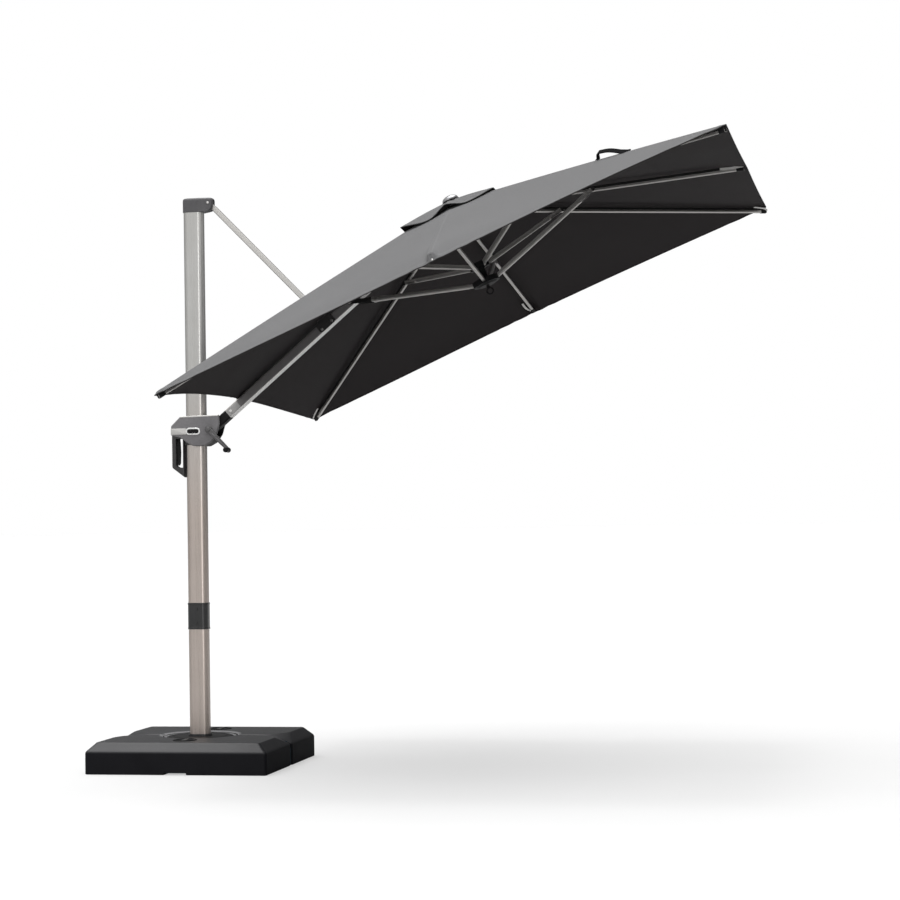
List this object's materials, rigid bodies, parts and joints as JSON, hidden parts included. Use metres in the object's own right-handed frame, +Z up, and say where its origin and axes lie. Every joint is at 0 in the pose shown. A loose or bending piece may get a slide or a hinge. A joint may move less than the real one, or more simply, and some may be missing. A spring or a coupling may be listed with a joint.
{
  "type": "cantilever patio umbrella with base",
  "caption": "Side-post patio umbrella: square vented canopy on a tilting arm, sliding carriage with grip and crank, mast on a turntable in a filled two-part base.",
  "frame": {"origin": "underside of the base, on the mast axis, at floor level", "axes": "+Z up along the mast, +X from the mast towards the canopy, +Y to the rear, so the crank is on the -Y side"},
  "size_m": [2.9315, 2.5012, 2.6298],
  "materials": {
    "tank_plastic": "satin",
    "water": "gloss",
    "dark_steel": "satin",
    "bright_steel": "satin",
    "black_plastic": "satin",
    "black_metal": "satin",
    "mast_metal": "satin",
    "grey_plastic": "matte",
    "grip_rubber": "matte",
    "grey_metal": "satin",
    "rib_metal": "satin",
    "canopy_cloth": "matte"
  },
  "bodies": {
    "base": {"front_tank": "tank_plastic", "rear_tank": "tank_plastic", "water_fill": "water", "foot_plate": "dark_steel", "socket_tube": "dark_steel", "foot_bolts": "bright_steel"},
    "front_cap": {"front_filler_cap": "black_plastic"},
    "rear_cap": {"rear_filler_cap": "black_plastic"},
    "mast": {"turntable": "black_plastic", "mast_shoe": "black_plastic", "lower_mast": "mast_metal", "mast_collar": "black_plastic", "joiner_tube": "dark_steel", "collar_screws": "bright_steel", "upper_mast": "mast_metal", "mast_cap": "grey_plastic", "cap_pin": "bright_steel"},
    "tie": {"tie_bar": "mast_metal", "tie_ends": "grey_metal"},
    "arm": {"main_arm": "mast_metal", "arm_ends": "black_metal", "tie_bracket": "black_metal", "arm_bolts": "bright_steel", "arm_tip": "black_plastic", "canopy_w": "canopy_cloth"},
    "carriage": {"carriage_sleeve": "black_plastic", "near_cover": "grey_plastic", "far_cover": "black_plastic", "trim_band": "mast_metal", "grip_handle": "grip_rubber", "pivot_pin": "bright_steel"},
    "trigger": {"squeeze_trigger": "black_plastic"},
    "crank": {"crank_arm": "black_metal"},
    "knob": {"crank_knob": "black_plastic"},
    "crown": {"crown_hub": "black_metal", "top_finial": "black_plastic"},
    "hub": {"lower_hub": "black_metal"},
    "rib_e": {"rib_e": "rib_metal", "canopy_e": "canopy_cloth"},
    "rib_ne": {"rib_ne": "rib_metal", "canopy_ne": "canopy_cloth"},
    "rib_n": {"rib_n": "rib_metal", "canopy_n": "canopy_cloth"},
    "rib_nw": {"rib_nw": "rib_metal", "canopy_nw": "canopy_cloth"},
    "rib_sw": {"rib_sw": "rib_metal", "canopy_sw": "canopy_cloth"},
    "rib_s": {"rib_s": "rib_metal", "canopy_s": "canopy_cloth"},
    "rib_se": {"rib_se": "rib_metal", "canopy_se": "canopy_cloth"},
    "strut_e": {"strut_e": "rib_metal"},
    "strut_ne": {"strut_ne": "rib_metal"},
    "strut_n": {"strut_n": "rib_metal"},
    "strut_nw": {"strut_nw": "rib_metal"},
    "strut_sw": {"strut_sw": "rib_metal"},
    "strut_s": {"strut_s": "rib_metal"},
    "strut_se": {"strut_se": "rib_metal"},
    "strut_w": {"strut_w": "rib_metal"}
  },
  "joints": [
    {"name": "mast_swivel", "type": "hinge", "parent": "base", "child": "mast", "pos_m": [0, 0, 0.13], "axis": [0, 0, 1], "continuous": true},
    {"name": "tie_pivot", "type": "hinge", "parent": "mast", "child": "tie", "pos_m": [0.074, 0, 2.5575], "axis": [0, 1, 0], "range_deg": [-22.5, 19.5]},
    {"name": "arm_pivot", "type": "hinge", "parent": "tie", "child": "arm", "pos_m": [0.579, 0, 2.03975], "axis": [0, 1, 0], "range_deg": [-39, 45]},
    {"name": "carriage_pivot", "type": "hinge", "parent": "arm", "child": "carriage", "pos_m": [0.074, 0, 1.522], "axis": [0, 1, 0], "range_deg": [-22.5, 19.5]},
    {"name": "crown_pivot", "type": "hinge", "parent": "arm", "child": "crown", "pos_m": [1.17387, 0, 2.45146], "axis": [0, 1, 0], "range_deg": [0, 61], "deforming": ["canopy_e", "canopy_ne", "canopy_n", "canopy_nw", "canopy_sw", "canopy_s", "canopy_se", "canopy_w"]},
    {"name": "rib_e_hinge", "type": "hinge", "parent": "crown", "child": "rib_e", "pos_m": [1.26598, 0, 2.49037], "axis": [0, 1, 0], "range_deg": [0, 61]},
    {"name": "rib_ne_hinge", "type": "hinge", "parent": "crown", "child": "rib_ne", "pos_m": [1.25249, 0.03535, 2.48467], "axis": [-0.6514, 0.7071, -0.2752], "range_deg": [0, 65.67]},
    {"name": "rib_n_hinge", "type": "hinge", "parent": "crown", "child": "rib_n", "pos_m": [1.21993, 0.05, 2.47092], "axis": [-0.9212, 0, -0.3891], "range_deg": [0, 61]},
    {"name": "rib_nw_hinge", "type": "hinge", "parent": "crown", "child": "rib_nw", "pos_m": [1.18736, 0.03535, 2.45716], "axis": [-0.6514, -0.7071, -0.2752], "range_deg": [0, 65.67]},
    {"name": "rib_sw_hinge", "type": "hinge", "parent": "crown", "child": "rib_sw", "pos_m": [1.18736, -0.03535, 2.45716], "axis": [0.6514, -0.7071, 0.2752], "range_deg": [0, 65.67]},
    {"name": "rib_s_hinge", "type": "hinge", "parent": "crown", "child": "rib_s", "pos_m": [1.21993, -0.05, 2.47092], "axis": [0.9212, 0, 0.3891], "range_deg": [0, 61]},
    {"name": "rib_se_hinge", "type": "hinge", "parent": "crown", "child": "rib_se", "pos_m": [1.25249, -0.03535, 2.48467], "axis": [0.6514, 0.7071, 0.2752], "range_deg": [0, 65.67]},
    {"name": "strut_e_hinge", "type": "hinge", "parent": "rib_e", "child": "strut_e", "pos_m": [1.83824, 0, 2.54648], "axis": [0, 1, 0], "range_deg": [-122, 0]},
    {"name": "strut_ne_hinge", "type": "hinge", "parent": "rib_ne", "child": "strut_ne", "pos_m": [1.63366, 0.39758, 2.5132], "axis": [-0.6514, 0.7071, -0.2752], "range_deg": [-127.87, 0]},
    {"name": "strut_n_hinge", "type": "hinge", "parent": "rib_n", "child": "strut_n", "pos_m": [1.28646, 0.59899, 2.3134], "axis": [-0.9212, 0, -0.3891], "range_deg": [-122, 0]},
    {"name": "strut_nw_hinge", "type": "hinge", "parent": "rib_nw", "child": "strut_nw", "pos_m": [0.90117, 0.39758, 2.20379], "axis": [-0.6514, -0.7071, -0.2752], "range_deg": [-127.87, 0]},
    {"name": "strut_sw_hinge", "type": "hinge", "parent": "rib_sw", "child": "strut_sw", "pos_m": [0.90117, -0.39758, 2.20379], "axis": [0.6514, -0.7071, 0.2752], "range_deg": [-127.87, 0]},
    {"name": "strut_s_hinge", "type": "hinge", "parent": "rib_s", "child": "strut_s", "pos_m": [1.28646, -0.59899, 2.3134], "axis": [0.9212, 0, 0.3891], "range_deg": [-122, 0]},
    {"name": "strut_se_hinge", "type": "hinge", "parent": "rib_se", "child": "strut_se", "pos_m": [1.63366, -0.39758, 2.5132], "axis": [0.6514, 0.7071, 0.2752], "range_deg": [-127.87, 0]},
    {"name": "strut_w_hinge", "type": "hinge", "parent": "arm", "child": "strut_w", "pos_m": [0.73468, 0, 2.08032], "axis": [0, 1, 0], "range_deg": [0, 122]},
    {"name": "hub_hinge", "type": "hinge", "parent": "strut_e", "child": "hub", "pos_m": [1.39906, 0, 2.17534], "axis": [0, 1, 0], "range_deg": [0, 61]},
    {"name": "crank_turn", "type": "hinge", "parent": "carriage", "child": "crank", "pos_m": [0.074, -0.06, 1.522], "axis": [0, 1, 0], "continuous": true},
    {"name": "knob_turn", "type": "hinge", "parent": "crank", "child": "knob", "pos_m": [0.17017, -0.092, 1.42583], "axis": [0, 1, 0], "continuous": true},
    {"name": "trigger_squeeze", "type": "hinge", "parent": "carriage", "child": "trigger", "pos_m": [-0.084, 0, 1.492], "axis": [0, 1, 0], "range_deg": [0, 3.2], "stiffness_Nm_per_rad": 3, "springref_deg": -4.58},
    {"name": "front_cap_turn", "type": "hinge", "parent": "base", "child": "front_cap", "pos_m": [0.012, -0.265, 0.14], "axis": [0, 0, 1], "continuous": true},
    {"name": "rear_cap_turn", "type": "hinge", "parent": "base", "child": "rear_cap", "pos_m": [0.012, 0.265, 0.14], "axis": [0, 0, 1], "continuous": true}
  ],
  "couplings": [
    {"joint": "arm_pivot", "follows": "tie_pivot", "ratio": -2},
    {"joint": "carriage_pivot", "follows": "tie_pivot", "ratio": 1},
    {"joint": "rib_e_hinge", "follows": "crown_pivot", "ratio": 1},
    {"joint": "rib_ne_hinge", "follows": "crown_pivot", "ratio": 1.0766},
    {"joint": "rib_n_hinge", "follows": "crown_pivot", "ratio": 1},
    {"joint": "rib_nw_hinge", "follows": "crown_pivot", "ratio": 1.0766},
    {"joint": "rib_sw_hinge", "follows": "crown_pivot", "ratio": 1.0766},
    {"joint": "rib_s_hinge", "follows": "crown_pivot", "ratio": 1},
    {"joint": "rib_se_hinge", "follows": "crown_pivot", "ratio": 1.0766},
    {"joint": "strut_e_hinge", "follows": "crown_pivot", "ratio": -2},
    {"joint": "strut_ne_hinge", "follows": "crown_pivot", "ratio": -2.0962},
    {"joint": "strut_n_hinge", "follows": "crown_pivot", "ratio": -2},
    {"joint": "strut_nw_hinge", "follows": "crown_pivot", "ratio": -2.0962},
    {"joint": "strut_sw_hinge", "follows": "crown_pivot", "ratio": -2.0962},
    {"joint": "strut_s_hinge", "follows": "crown_pivot", "ratio": -2},
    {"joint": "strut_se_hinge", "follows": "crown_pivot", "ratio": -2.0962},
    {"joint": "strut_w_hinge", "follows": "crown_pivot", "ratio": 2},
    {"joint": "hub_hinge", "follows": "crown_pivot", "ratio": 1}
  ]
}
